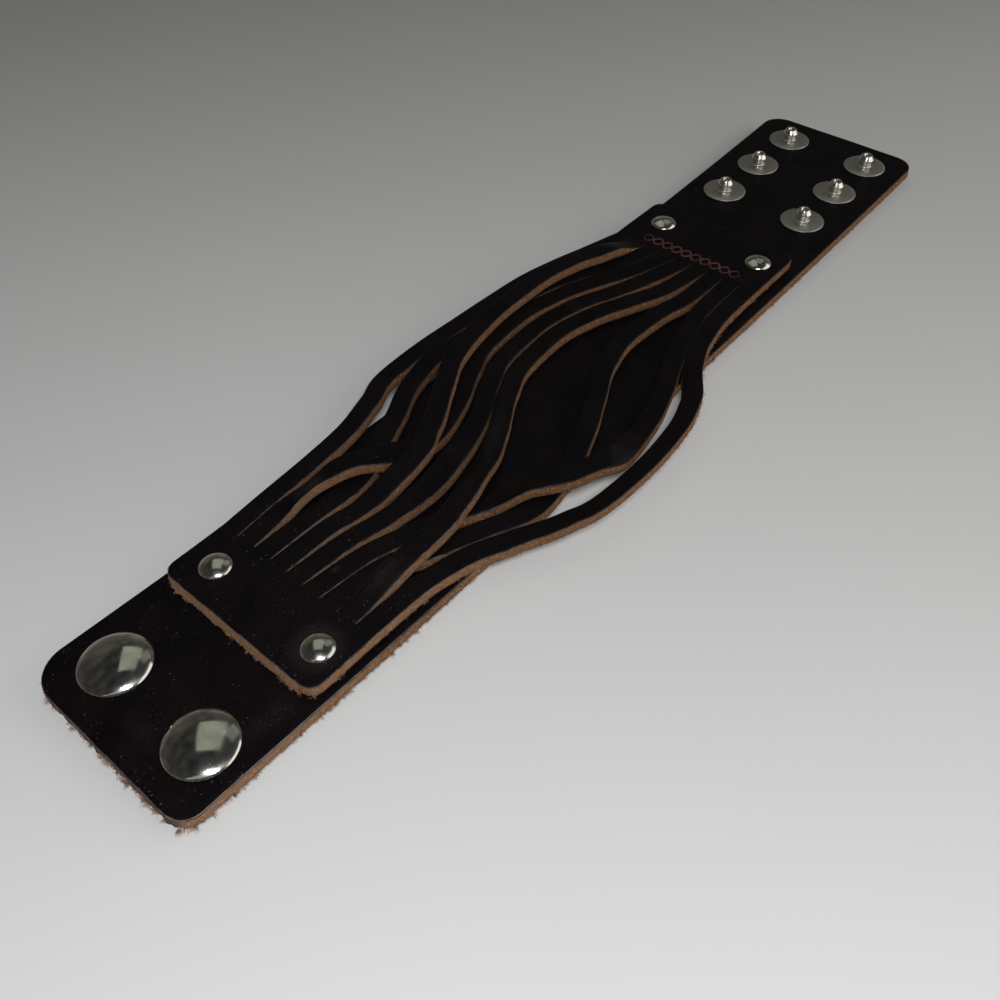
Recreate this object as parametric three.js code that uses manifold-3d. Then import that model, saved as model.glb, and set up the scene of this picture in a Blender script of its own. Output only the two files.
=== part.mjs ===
// An open leather cuff bracelet, lying flat with its good side up. A plain strap carries a
// shorter panel that is slit into nine strands, and the strands are woven over one another.
// Rivets hold the panel, and two snap caps at one end close on three rows of studs at the other.
// Millimetres. X runs along the strap from the caps to the studs, Z is up.
import * as THREE from "three";
import { mergeVertices } from "three/addons/utils/BufferGeometryUtils.js";
import Module from "manifold-3d";

const wasm = await Module();
wasm.setup();

// Strap
const strapThickness = 2.4;
const capEndMargin = 1.45; // of the strap beyond the panel, at each side of its ends
const studEndMargin = 2.25;
const plusMiddleMargin = -0.25; // at the middle of its +Y side, which curves in
const minusMiddleMargin = 2.85; // and of its -Y side, which curves out
const strapOffset = 0.4; // of the strap's middle from the line between the snaps, towards +Y
const capEndCorner = 6.5;
const studEndCorner = 5;

// Slit panel on the strap
const panelLength = 151;
const panelThickness = 2.4;
const panelCorner = 4.5;
const panelOffset = 0.3; // towards +Y of the line between the snaps
const strandCount = 9;
const strandPitch = 4.25;
const slitWidth = 0.35;
const slitInset = 13.5; // uncut leather at the cap end of the panel
const slitInsetFar = 17.9; // uncut leather at the stud end
const strandRoot = 3.4; // how far a strand is joined into the uncut leather
const innerCorner = 0.35; // of the uncut leather, beside the first and last strand
const crossingGap = 0.12; // between one strand and the strand it crosses

// Metal
const footHeight = 1.5; // how far the metal stands out below the strap
const seatGap = 0.1; // sideways clearance of a shank in its hole
const capInset = 10.6; // from the strap's end to the middle of a cap
const capPanelGap = 9.65; // from a cap to the panel
const snapSideInset = 9.325; // from the sides of the strap's cap end
const capRadius = 6.25;
const capHeight = 2;
const capBossRadius = 2;
const capBossLength = 0.4;
const socketRadius = 5.1;
const socketWall = 0.5;
const studFlangeRadius = 5.3;
const studFlangeThickness = 0.6;
const studHeadRadius = 2.05;
const studNeckRadius = 1.8;
const studHeight = 3.4; // from the strap's face to the top of the head
const studHeadHeight = 1.2;
const postFlangeRadius = 4.6;
const postShankRadius = 1.2;
const postReach = 1.2; // of the post into the stud
const studPanelGap = 12.7; // from the panel to the first row
const studRows = 3;
const studRowPitch = 16.55;
const studEndInset = 10.2; // from the strap's end to the last row
const rivetRadius = 3;
const rivetHeight = 1.3;
const rivetShankRadius = 1.1;
const rivetInset = 6.5; // from the panel's cap end
const rivetInsetFar = 7.6; // from the panel's stud end
const rivetSideInset = 5.925; // from the sides of the panel
const rivetOffset = -0.3; // of the rivets' middle from the line between the snaps
const rivetTailRoom = 0.7; // metal left below the rivet's shank
const rimRound = 0.4; // of the turned edges

// Levels
const strapBottom = footHeight;
const strapTop = strapBottom + strapThickness;
const panelTop = strapTop + panelThickness;

// Places along the strap, from its cap end
const panelStart = capInset + capRadius + capPanelGap;
const panelEnd = panelStart + panelLength;
const slitStart = panelStart + slitInset;
const slitEnd = panelEnd - slitInsetFar;
const firstStudRow = panelEnd + studPanelGap + studFlangeRadius;
const strapLength = firstStudRow + (studRows - 1) * studRowPitch + studEndInset;

// Widths
const strandWidth = strandPitch - slitWidth;
const panelWidth = strandCount * strandPitch - slitWidth;
const strapMiddleHalves = [panelWidth / 2 + plusMiddleMargin, panelWidth / 2 + minusMiddleMargin];
const capEndWidth = panelWidth + 2 * capEndMargin;
const studEndWidth = panelWidth + 2 * studEndMargin;

const capSides = 28;
const snapSides = 20;
const rivetSides = 16;
const arcSteps = 6;
const strandSteps = 40;

const leather = new THREE.MeshStandardMaterial({ color: 0x120d0f, roughness: 0.4, metalness: 0 });
const steel = new THREE.MeshStandardMaterial({ color: 0x8f908a, roughness: 0.2, metalness: 1 });

// Where each strand's middle lies at sections along the slits. Along is a share of the slit
// length, and the lanes are strand pitches from the panel's middle, first strand first.
const weave = [
  { along: 0, lanes: [4, 3, 2, 1, 0, -1, -2, -3, -4] },
  { along: 1 / 12, lanes: [4.19, 3.2, 1.98, 0.96, -0.14, -1.25, -2.25, -2.98, -4.05] },
  { along: 2 / 12, lanes: [4.35, 2.9, 1.88, 0.66, -0.54, -1.93, -3.25, -3, -4.4] },
  { along: 3 / 12, lanes: [4.6, 1.85, 2.6, 0.61, -0.75, -2.76, -4.25, -2.65, -5.35] },
  { along: 4 / 12, lanes: [5.25, 1.25, 3.57, 1.32, -0.35, -4.05, -5.05, -1.9, -6.5] },
  { along: 5 / 12, lanes: [5.93, 1.88, 4.65, 2.65, 0.45, -5.5, -4.7, -0.75, -7.15] },
  { along: 6 / 12, lanes: [6, 3, 5.1, 3.9, 1.72, -6.02, -3.92, 0.6, -7.25] },
  { along: 7 / 12, lanes: [5.9, 3.76, 4.87, 4.45, 2.5, -5.72, -2.84, 1.39, -7.1] },
  { along: 8 / 12, lanes: [5.8, 3.9, 4.85, 4.7, 2.63, -5.05, -1.77, 1.55, -6.55] },
  { along: 9 / 12, lanes: [5.65, 3.55, 4.6, 4.72, 2.3, -4.12, -1.33, 1.15, -5.2] },
  { along: 10 / 12, lanes: [5.22, 2.75, 3.8, 4.4, 1.42, -3.4, -1.48, 0.24, -4.35] },
  { along: 11 / 12, lanes: [4.6, 1.7, 2.7, 3.6, 0.62, -3.04, -1.91, -0.64, -4.04] },
  { along: 1, lanes: [4, 1, 2, 3, 0, -3, -2, -1, -4] },
];

// Where a strand climbs over others. Side 1 is its +Y edge and side -1 its -Y edge. That edge
// rises from climb to top, comes down from leave to end, and height is a share of one full step.
const crossings = [
  { strand: 1, side: 1, height: 1, climb: 0.12, top: 0.19, leave: 0.25, end: 0.32 },
  { strand: 1, side: -1, height: 1, climb: 0.05, top: 0.14, leave: 0.21, end: 0.28 },
  { strand: 3, side: 1, height: 1, climb: 0.14, top: 0.26, leave: 0.9, end: 1 },
  { strand: 3, side: -1, height: 1, climb: 0.23, top: 0.32, leave: 0.93, end: 1 },
  { strand: 4, side: 1, height: 0.6, climb: 0.18, top: 0.29, leave: 0.34, end: 0.42 },
  { strand: 5, side: 1, height: 1, climb: 0.32, top: 0.39, leave: 0.48, end: 0.56 },
  { strand: 5, side: -1, height: 1, climb: 0.28, top: 0.35, leave: 0.43, end: 0.5 },
  { strand: 7, side: 1, height: 1, climb: 0, top: 0.06, leave: 0.27, end: 0.34 },
  { strand: 7, side: -1, height: 1, climb: 0.05, top: 0.13, leave: 0.3, end: 0.38 },
  { strand: 8, side: -1, height: 0.5, climb: 0.2, top: 0.42, leave: 0.6, end: 0.85 },
];

function smoothStep(from, to, value) {
  const share = Math.min(1, Math.max(0, (value - from) / (to - from)));
  return share * share * (3 - 2 * share);
}

// How far one edge of a strand is raised at a share of the slit length, from 0 to 1 full step.
function raisedShare(strand, side, along) {
  return crossings
    .filter((row) => row.strand === strand && row.side === side)
    .reduce((highest, row) => {
      const up = smoothStep(row.climb, row.top, along);
      const down = 1 - smoothStep(row.leave, row.end, along);
      return Math.max(highest, row.height * Math.min(up, down));
    }, 0);
}

function solidFrom(geometry) {
  const bare = geometry.index ? geometry.toNonIndexed() : geometry.clone();
  bare.deleteAttribute("normal");
  bare.deleteAttribute("uv");
  const merged = mergeVertices(bare, 1e-4);
  return new wasm.Manifold(
    new wasm.Mesh({
      numProp: 3,
      vertProperties: merged.attributes.position.array,
      triVerts: new Uint32Array(merged.index.array),
    }),
  );
}

function geometryFrom(solid) {
  const mesh = solid.getMesh();
  const geometry = new THREE.BufferGeometry();
  geometry.setAttribute("position", new THREE.BufferAttribute(mesh.vertProperties, 3));
  geometry.setIndex(new THREE.BufferAttribute(mesh.triVerts, 1));
  geometry.computeVertexNormals();
  return geometry;
}

// A closed body through equal rings of points.
function loft(rings) {
  const count = rings[0].length;
  const positions = rings.flat().flatMap((point) => [point.x, point.y, point.z]);
  const faces = [];
  for (let ring = 0; ring < rings.length - 1; ring++) {
    for (let i = 0; i < count; i++) {
      const next = (i + 1) % count;
      const a = ring * count + i;
      const b = ring * count + next;
      faces.push(a, b, b + count, a, b + count, a + count);
    }
  }
  const last = (rings.length - 1) * count;
  for (let i = 1; i < count - 1; i++) {
    faces.push(0, i + 1, i);
    faces.push(last, last + i, last + i + 1);
  }
  const geometry = new THREE.BufferGeometry();
  geometry.setAttribute("position", new THREE.Float32BufferAttribute(positions, 3));
  geometry.setIndex(faces);
  return geometry;
}

// A flat piece of leather with rounded corners, cut through at the holes. Its +Y and -Y sides
// curve from the two end widths to their own half widths at the middle.
function leatherPiece({ from, to, endWidths, middleHalves, middle, bottom, thickness, corners, holes }) {
  const [nearCorner, farCorner] = corners;
  const [nearHalf, farHalf] = endWidths.map((width) => width / 2);
  const centre = (from + to) / 2;
  const [plusBow, minusBow] = middleHalves.map((half) => 2 * half - (nearHalf + farHalf) / 2);
  const outline = new THREE.Shape();
  outline.moveTo(from + nearCorner, middle - nearHalf);
  outline.quadraticCurveTo(centre, middle - minusBow, to - farCorner, middle - farHalf);
  outline.absarc(to - farCorner, middle - farHalf + farCorner, farCorner, -Math.PI / 2, 0);
  outline.lineTo(to, middle + farHalf - farCorner);
  outline.absarc(to - farCorner, middle + farHalf - farCorner, farCorner, 0, Math.PI / 2);
  outline.quadraticCurveTo(centre, middle + plusBow, from + nearCorner, middle + nearHalf);
  outline.absarc(from + nearCorner, middle + nearHalf - nearCorner, nearCorner, Math.PI / 2, Math.PI);
  outline.lineTo(from, middle - nearHalf + nearCorner);
  outline.absarc(from + nearCorner, middle - nearHalf + nearCorner, nearCorner, Math.PI, 1.5 * Math.PI);
  outline.holes = holes.map(({ x, y, radius }) =>
    new THREE.Path().absarc(x, y, radius, 0, 2 * Math.PI, true),
  );
  const geometry = new THREE.ExtrudeGeometry(outline, {
    depth: thickness,
    bevelEnabled: false,
    curveSegments: arcSteps,
  });
  return geometry.translate(0, 0, bottom);
}

// A turned metal piece from a profile of [radius, height] that starts low and ends high.
function turned(profile, sides) {
  const points = profile.map(([radius, height]) => new THREE.Vector2(radius, height));
  return new THREE.LatheGeometry(points, sides).rotateX(Math.PI / 2);
}

// Profile points of a shallow dome, from its rim to its middle.
function domeProfile(radius, rimHeight, height, steps) {
  const points = [];
  for (let step = 0; step <= steps; step++) {
    const angle = (step / steps) * (Math.PI / 2);
    points.push([radius * Math.cos(angle), rimHeight + (height - rimHeight) * Math.sin(angle)]);
  }
  points[steps][0] = 0;
  return points;
}

const halfSnap = capEndWidth / 2 - snapSideInset;
const halfRivet = panelWidth / 2 - rivetSideInset;
const socketTubeRadius = capBossRadius + seatGap + socketWall;
const capSeats = [1, -1].map((side) => ({ x: capInset, y: side * halfSnap }));
const rivetSeats = [panelStart + rivetInset, panelEnd - rivetInsetFar].flatMap((x) =>
  [1, -1].map((side) => ({ x, y: rivetOffset + side * halfRivet })),
);
const studSeats = Array.from({ length: studRows }, (_, row) => firstStudRow + row * studRowPitch).flatMap(
  (x) => [1, -1].map((side) => ({ x, y: side * halfSnap })),
);

function holesAt(seats, radius) {
  return seats.map((seat) => ({ ...seat, radius }));
}

function strapGeometry() {
  return leatherPiece({
    from: 0,
    to: strapLength,
    endWidths: [capEndWidth, studEndWidth],
    middleHalves: strapMiddleHalves,
    middle: strapOffset,
    bottom: strapBottom,
    thickness: strapThickness,
    corners: [capEndCorner, studEndCorner],
    holes: [
      ...holesAt(capSeats, socketTubeRadius + seatGap),
      ...holesAt(rivetSeats, rivetShankRadius + seatGap),
      ...holesAt(studSeats, postShankRadius + seatGap),
    ],
  });
}

// The uncut end of the panel.
function panelTab(from, to, corners, seats) {
  return leatherPiece({
    from,
    to,
    endWidths: [panelWidth, panelWidth],
    middleHalves: [panelWidth / 2, panelWidth / 2],
    middle: panelOffset,
    bottom: strapTop,
    thickness: panelThickness,
    corners,
    holes: holesAt(seats, rivetShankRadius + seatGap),
  });
}

// One strand, a flat band that follows its lane and climbs where it crosses.
function strandGeometry(strand) {
  const lane = new THREE.CatmullRomCurve3(
    weave.map(({ along, lanes }) => new THREE.Vector3(along, lanes[strand], 0)),
  );
  const slitLength = slitEnd - slitStart;
  const fullStep = panelThickness + crossingGap;
  const pathPoint = (share) => {
    const at = lane.getPoint(share);
    return { along: at.x, x: slitStart + at.x * slitLength, y: panelOffset + at.y * strandPitch };
  };
  const rings = [];
  const addRing = ({ along, x, y }, heading) => {
    const edge = (side) =>
      new THREE.Vector3(
        x - (side * Math.sin(heading) * strandWidth) / 2,
        y + (side * Math.cos(heading) * strandWidth) / 2,
        strapTop + fullStep * raisedShare(strand, side, along),
      );
    const up = new THREE.Vector3(0, 0, panelThickness);
    rings.push([edge(-1), edge(1), edge(1).add(up), edge(-1).add(up)]);
  };
  const start = pathPoint(0);
  addRing({ ...start, x: start.x - strandRoot }, 0);
  for (let step = 0; step <= strandSteps; step++) {
    const share = step / strandSteps;
    const before = pathPoint(Math.max(0, share - 0.5 / strandSteps));
    const after = pathPoint(Math.min(1, share + 0.5 / strandSteps));
    const isEnd = step === 0 || step === strandSteps;
    addRing(pathPoint(share), isEnd ? 0 : Math.atan2(after.y - before.y, after.x - before.x));
  }
  const end = pathPoint(1);
  addRing({ ...end, x: end.x + strandRoot }, 0);
  return loft(rings);
}

function panelGeometry() {
  const nearTab = panelTab(panelStart, slitStart, [panelCorner, innerCorner], rivetSeats.slice(0, 2));
  const farTab = panelTab(slitEnd, panelEnd, [innerCorner, panelCorner], rivetSeats.slice(2));
  let panel = solidFrom(nearTab).add(solidFrom(farTab));
  for (let strand = 0; strand < strandCount; strand++) {
    panel = panel.add(solidFrom(strandGeometry(strand)));
  }
  return geometryFrom(panel);
}

function capGeometry() {
  const profile = [
    [0, -capBossLength],
    [capBossRadius, -capBossLength],
    [capBossRadius, 0],
    [capRadius - rimRound, 0],
    ...domeProfile(capRadius, rimRound, capHeight, arcSteps),
  ];
  return turned(profile, capSides);
}

// The spring socket under a cap: a ring below the strap and a tube up through it.
function socketGeometry() {
  const bore = capBossRadius + seatGap;
  const tubeTop = strapThickness - seatGap;
  const profile = [
    [bore, -footHeight],
    [socketRadius - rimRound, -footHeight],
    [socketRadius, -footHeight + rimRound],
    [socketRadius, -rimRound],
    [socketRadius - rimRound, 0],
    [socketTubeRadius, 0],
    [socketTubeRadius, tubeTop],
    [bore, tubeTop],
    [bore, -footHeight],
  ];
  return turned(profile, snapSides);
}

function studGeometry() {
  const bore = postShankRadius + seatGap;
  const boreTop = postReach + seatGap;
  const flangeEdge = studFlangeThickness / 2;
  const headBottom = studHeight - studHeadHeight;
  const profile = [
    [0, boreTop],
    [bore, boreTop],
    [bore, 0],
    [studFlangeRadius - flangeEdge, 0],
    [studFlangeRadius, flangeEdge],
    [studFlangeRadius - flangeEdge, studFlangeThickness],
    [studNeckRadius + flangeEdge, studFlangeThickness],
    [studNeckRadius, studFlangeThickness + flangeEdge],
    [studNeckRadius, headBottom - rimRound],
    [studHeadRadius, headBottom],
    [studHeadRadius, studHeight - rimRound],
    [studHeadRadius - rimRound, studHeight],
    [0, studHeight],
  ];
  return turned(profile, snapSides);
}

function postGeometry() {
  const profile = [
    [0, -footHeight],
    [postFlangeRadius - footHeight, -footHeight],
    [postFlangeRadius, -rimRound],
    [postFlangeRadius - rimRound, 0],
    [postShankRadius, 0],
    [postShankRadius, strapThickness + postReach],
    [0, strapThickness + postReach],
  ];
  return turned(profile, rivetSides);
}

function rivetGeometry() {
  const shankLength = panelThickness + strapThickness + footHeight - rivetTailRoom;
  const profile = [
    [0, -shankLength],
    [rivetShankRadius, -shankLength],
    [rivetShankRadius, 0],
    [rivetRadius - rimRound, 0],
    ...domeProfile(rivetRadius, rimRound, rivetHeight, arcSteps),
  ];
  return turned(profile, rivetSides);
}

function rivetBackGeometry() {
  const bore = rivetShankRadius + seatGap;
  const boreBottom = -footHeight + rivetTailRoom - seatGap;
  const profile = [
    [0, -footHeight],
    [rivetRadius - footHeight, -footHeight],
    [rivetRadius, -rimRound],
    [rivetRadius - rimRound, 0],
    [bore, 0],
    [bore, boreBottom],
    [0, boreBottom],
  ];
  return turned(profile, rivetSides);
}

const cuff = new THREE.Group();

function addPiece(name, geometry, material, position = [0, 0, 0]) {
  const mesh = new THREE.Mesh(geometry, material);
  mesh.name = name;
  mesh.position.set(...position);
  cuff.add(mesh);
}

addPiece("strap", strapGeometry(), leather);
addPiece("woven_panel", panelGeometry(), leather);
capSeats.forEach(({ x, y }, i) => {
  addPiece(`snap_cap_${i + 1}`, capGeometry(), steel, [x, y, strapTop]);
  addPiece(`snap_socket_${i + 1}`, socketGeometry(), steel, [x, y, strapBottom]);
});
rivetSeats.forEach(({ x, y }, i) => {
  addPiece(`rivet_${i + 1}`, rivetGeometry(), steel, [x, y, panelTop]);
  addPiece(`rivet_back_${i + 1}`, rivetBackGeometry(), steel, [x, y, strapBottom]);
});
studSeats.forEach(({ x, y }, i) => {
  addPiece(`snap_stud_${i + 1}`, studGeometry(), steel, [x, y, strapTop]);
  addPiece(`snap_post_${i + 1}`, postGeometry(), steel, [x, y, strapBottom]);
});

// The frame's origin is under the middle of the whole cuff, on the surface it lies on.
const extent = new THREE.Box3().setFromObject(cuff);
const middle = extent.getCenter(new THREE.Vector3());
cuff.position.set(-middle.x, -middle.y, -extent.min.z);

export default cuff;
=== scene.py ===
"""An open leather cuff, lying flat: a plain strap, a slit and woven panel, snaps and rivets."""

import math
import random

import bmesh
import bpy
import numpy as np
from bpy.props import FloatProperty, FloatVectorProperty, IntProperty, PointerProperty
from mathutils import Matrix, Vector, noise


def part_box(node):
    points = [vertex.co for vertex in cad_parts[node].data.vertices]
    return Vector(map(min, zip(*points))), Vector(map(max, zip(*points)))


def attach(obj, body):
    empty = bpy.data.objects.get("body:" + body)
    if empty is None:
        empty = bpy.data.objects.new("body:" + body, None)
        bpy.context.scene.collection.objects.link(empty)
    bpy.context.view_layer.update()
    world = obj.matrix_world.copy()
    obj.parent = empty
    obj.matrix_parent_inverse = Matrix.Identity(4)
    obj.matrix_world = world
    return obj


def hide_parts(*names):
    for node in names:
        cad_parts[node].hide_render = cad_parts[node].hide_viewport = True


bl_info = {
    "name": "Leather cuff",
    "version": (1, 0, 0),
    "blender": (4, 5, 0),
    "location": "View3D > Sidebar > Cuff",
    "description": "Makes an open leather cuff with a woven panel, snaps and rivets",
    "category": "Add Mesh",
}

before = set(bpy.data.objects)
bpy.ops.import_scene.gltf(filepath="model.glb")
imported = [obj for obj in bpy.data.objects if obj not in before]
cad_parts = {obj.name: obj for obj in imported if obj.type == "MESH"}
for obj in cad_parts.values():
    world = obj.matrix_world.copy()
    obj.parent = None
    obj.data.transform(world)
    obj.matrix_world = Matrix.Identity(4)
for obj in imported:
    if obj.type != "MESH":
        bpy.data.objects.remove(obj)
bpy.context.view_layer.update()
BODY = "root"
MM = 0.001
UP = Vector((0, 0, 1))

CAPS = ["snap_cap_1", "snap_cap_2"]
SOCKETS = ["snap_socket_1", "snap_socket_2"]
RIVETS = [f"rivet_{i}" for i in range(1, 5)]
RIVET_BACKS = [f"rivet_back_{i}" for i in range(1, 5)]
STUDS = [f"snap_stud_{i}" for i in range(1, 7)]
POSTS = [f"snap_post_{i}" for i in range(1, 7)]


def middle(node):
    low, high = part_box(node)
    return (low + high) / 2


def node_size(node):
    low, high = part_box(node)
    return high - low


# The line that runs between the two rows of snaps, and the levels of the leather.
SNAP_LINE = (middle("snap_cap_1").y + middle("snap_cap_2").y) / 2
STRAP_LOW, STRAP_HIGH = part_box("strap")
PANEL_LOW, PANEL_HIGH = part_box("woven_panel")
STRAP_TOP = STRAP_HIGH.z

# Where each strand's middle lies at sections along the slits. Along is a share of the slit
# length, and the lanes are strand pitches from the panel's middle, first strand first.
WEAVE = [
    {"along": 0, "lanes": (4, 3, 2, 1, 0, -1, -2, -3, -4)},
    {"along": 1 / 12, "lanes": (4.19, 3.2, 1.98, 0.96, -0.14, -1.25, -2.25, -2.98, -4.05)},
    {"along": 2 / 12, "lanes": (4.35, 2.9, 1.88, 0.66, -0.54, -1.93, -3.25, -3, -4.4)},
    {"along": 3 / 12, "lanes": (4.6, 1.85, 2.6, 0.61, -0.75, -2.76, -4.25, -2.65, -5.35)},
    {"along": 4 / 12, "lanes": (5.25, 1.25, 3.57, 1.32, -0.35, -4.05, -5.05, -1.9, -6.5)},
    {"along": 5 / 12, "lanes": (5.93, 1.88, 4.65, 2.65, 0.45, -5.5, -4.7, -0.75, -7.15)},
    {"along": 6 / 12, "lanes": (6, 3, 5.1, 3.9, 1.72, -6.02, -3.92, 0.6, -7.25)},
    {"along": 7 / 12, "lanes": (5.9, 3.76, 4.87, 4.45, 2.5, -5.72, -2.84, 1.39, -7.1)},
    {"along": 8 / 12, "lanes": (5.8, 3.9, 4.85, 4.7, 2.63, -5.05, -1.77, 1.55, -6.55)},
    {"along": 9 / 12, "lanes": (5.65, 3.55, 4.6, 4.72, 2.3, -4.12, -1.33, 1.15, -5.2)},
    {"along": 10 / 12, "lanes": (5.22, 2.75, 3.8, 4.4, 1.42, -3.4, -1.48, 0.24, -4.35)},
    {"along": 11 / 12, "lanes": (4.6, 1.7, 2.7, 3.6, 0.62, -3.04, -1.91, -0.64, -4.04)},
    {"along": 1, "lanes": (4, 1, 2, 3, 0, -3, -2, -1, -4)},
]

# Where a strand climbs over others. Side 1 is its +Y edge and side -1 its -Y edge. That edge
# rises from climb to top, comes down from leave to end, and height is a share of one full step.
CROSSINGS = [
    {"strand": 1, "side": 1, "height": 1, "climb": 0.12, "top": 0.19, "leave": 0.25, "end": 0.32},
    {"strand": 1, "side": -1, "height": 1, "climb": 0.05, "top": 0.14, "leave": 0.21, "end": 0.28},
    {"strand": 3, "side": 1, "height": 1, "climb": 0.14, "top": 0.26, "leave": 0.9, "end": 1},
    {"strand": 3, "side": -1, "height": 1, "climb": 0.17, "top": 0.3, "leave": 0.93, "end": 1},
    {"strand": 4, "side": 1, "height": 0.6, "climb": 0.18, "top": 0.29, "leave": 0.34, "end": 0.42},
    {"strand": 5, "side": 1, "height": 1, "climb": 0.32, "top": 0.39, "leave": 0.48, "end": 0.56},
    {"strand": 5, "side": -1, "height": 1, "climb": 0.28, "top": 0.35, "leave": 0.43, "end": 0.5},
    {"strand": 7, "side": 1, "height": 1, "climb": 0, "top": 0.11, "leave": 0.27, "end": 0.34},
    {"strand": 7, "side": -1, "height": 1, "climb": 0.01, "top": 0.16, "leave": 0.3, "end": 0.38},
    {"strand": 8, "side": -1, "height": 0.5, "climb": 0.2, "top": 0.42, "leave": 0.6, "end": 0.85},
]


def length(name, default, description):
    return FloatProperty(name=name, description=description, default=default, unit="LENGTH", precision=5)


def colour(name, default, description):
    return FloatVectorProperty(
        name=name, description=description, default=default, subtype="COLOR", min=0, max=1
    )


class CuffLeatherSettings(bpy.types.PropertyGroup):
    thickness: length("Thickness", STRAP_HIGH.z - STRAP_LOW.z, "Thickness of each layer of leather")
    cap_end_width: length("Cap end width", 40.8 * MM, "Width of the strap at its cap end")
    stud_end_width: length("Stud end width", 42.4 * MM, "Width of the strap at its stud end")
    plus_half: length("Half width to +Y", 18.7 * MM, "Strap's half width at the middle of its +Y side")
    minus_half: length("Half width to -Y", 21.8 * MM, "Strap's half width at the middle of its -Y side")
    cap_end_corner: length("Cap end corner", 6.5 * MM, "Radius of the strap's corner at the first cap")
    front_corner: length("Front corner", 4 * MM, "Radius of the strap's corner at the second cap")
    stud_end_corner: length("Stud end corner", 5 * MM, "Radius of the strap's corners at the studs")
    panel_corner: length("Panel corner", 2.6 * MM, "Radius of the panel's corners")
    strand_pitch: length("Strand pitch", 4.25 * MM, "Width of a strand with its slit")
    slit_width: length("Slit width", 0.16 * MM, "Width of an open slit")
    slit_inset: length("Uncut near end", 13.5 * MM, "Uncut leather at the panel's cap end")
    slit_inset_far: length("Uncut far end", 17.9 * MM, "Uncut leather at the panel's stud end")
    crossing_gap: length("Crossing gap", 0.12 * MM, "Gap between a strand and the one that it crosses")
    edge_round: length("Edge rounding", 0.3 * MM, "Radius of the rubbed edges of the good side")
    panel_lean: length("Panel edge lean", 0.55 * MM, "How far the panel's front edge spreads at its foot")
    face_colour: colour("Face", (0.0019, 0.0012, 0.0023), "Dyed good side")
    worn_colour: colour("Worn face", (0.0044, 0.0023, 0.0027), "Where the dye is thin")
    raw_colour: colour("Cut edge", (0.28, 0.122, 0.045), "Undyed leather in the cut edges")
    rubbed_colour: colour("Rubbed edge", (0.13, 0.105, 0.095), "Edges where the dye is rubbed off")
    wave_colour: colour("Tooled wave", (0.075, 0.024, 0.02), "Wax in the tooled wave")
    flesh_colour: colour("Flesh side", (0.13, 0.065, 0.04), "Underside of the leather")
    fibre_count: IntProperty(name="Tufts", description="Tufts of loose fibre", default=560, min=0)


class CuffMetalSettings(bpy.types.PropertyGroup):
    sides: IntProperty(name="Sides", description="Sides of a turned piece", default=64, min=12)
    nickel: colour("Nickel", (0.62, 0.61, 0.56), "Polished plate of caps and rivets")
    satin: colour("Satin nickel", (0.5, 0.485, 0.44), "Dull plate of studs, sockets and posts")


class CuffStageSettings(bpy.types.PropertyGroup):
    floor_colour: colour("Floor", (0.63, 0.63, 0.63), "Plain pale floor")
    camera_place: FloatVectorProperty(
        name="Camera", description="Where the camera stands", default=(-0.1329, -0.09182, 0.1393),
        subtype="TRANSLATION", unit="LENGTH",
    )
    camera_aim: FloatVectorProperty(
        name="Aim", description="Point of the floor at the picture's middle",
        default=(-0.03913, -0.00905, 0), subtype="TRANSLATION", unit="LENGTH",
    )
    camera_roll: FloatProperty(
        name="Roll", description="Turn about the line of sight",
        default=math.radians(-1.344), subtype="ANGLE",
    )
    lens: FloatProperty(name="Lens", description="Focal length in mm", default=35.36, min=1)
    key_watts: FloatProperty(name="Window", description="Power of the window light", default=2.47)
    fill_watts: FloatProperty(name="Far window", description="Power of the far window light", default=0.94)


PANEL_LENGTH = PANEL_HIGH.x - PANEL_LOW.x
STRAND_COUNT = len(WEAVE[0]["lanes"])
LAST_LANE = (STRAND_COUNT - 1) // 2


def smooth_step(low, high, value):
    share = min(1, max(0, (value - low) / (high - low)))
    return share * share * (3 - 2 * share)


def raised_share(strand, side, along):
    """How far one edge of a strand is raised, from 0 to 1 full step."""
    highest = 0
    for row in CROSSINGS:
        if row["strand"] == strand and row["side"] == side:
            up = smooth_step(row["climb"], row["top"], along)
            down = 1 - smooth_step(row["leave"], row["end"], along)
            highest = max(highest, row["height"] * min(up, down))
    return highest


def lane_point(points, share):
    """A point of the smooth curve through the points, at a share of its sections."""
    last = len(points) - 1
    section = min(int(share * last), last - 1)
    weight = share * last - section
    here, there = points[section], points[section + 1]
    before = points[section - 1] if section else 2 * here - there
    after = points[section + 2] if section + 2 <= last else 2 * there - here
    steps = [max(1e-4, (b - a).length ** 0.5) for a, b in ((before, here), (here, there), (there, after))]
    ahead = (there - here) / steps[1]
    leave = (here - before) / steps[0] - (there - before) / (steps[0] + steps[1]) + ahead
    arrive = ahead - (after - here) / (steps[1] + steps[2]) + (after - there) / steps[2]
    leave, arrive = leave * steps[1], arrive * steps[1]
    bend = 3 * (there - here) - 2 * leave - arrive
    turn = 2 * (here - there) + leave + arrive
    return here + leave * weight + bend * weight**2 + turn * weight**3


def edge_steps(radius):
    """Distances from an edge that a rounded edge needs, the last one where the face is flat."""
    return [radius * (1 - math.cos(math.radians(angle))) for angle in (0, 30, 60, 90)]


def edge_drop(distance, radius):
    """How far a rounded edge lies below the face, at a distance from the cut."""
    if distance >= radius:
        return 0
    return radius * (1 - math.sqrt(max(0, 1 - (1 - max(0, distance) / radius) ** 2)))


def spread(start, end, step):
    """Even steps from start to end, without the two ends."""
    count = max(1, round((end - start) / step))
    return [start + (end - start) * i / count for i in range(1, count)]


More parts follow.
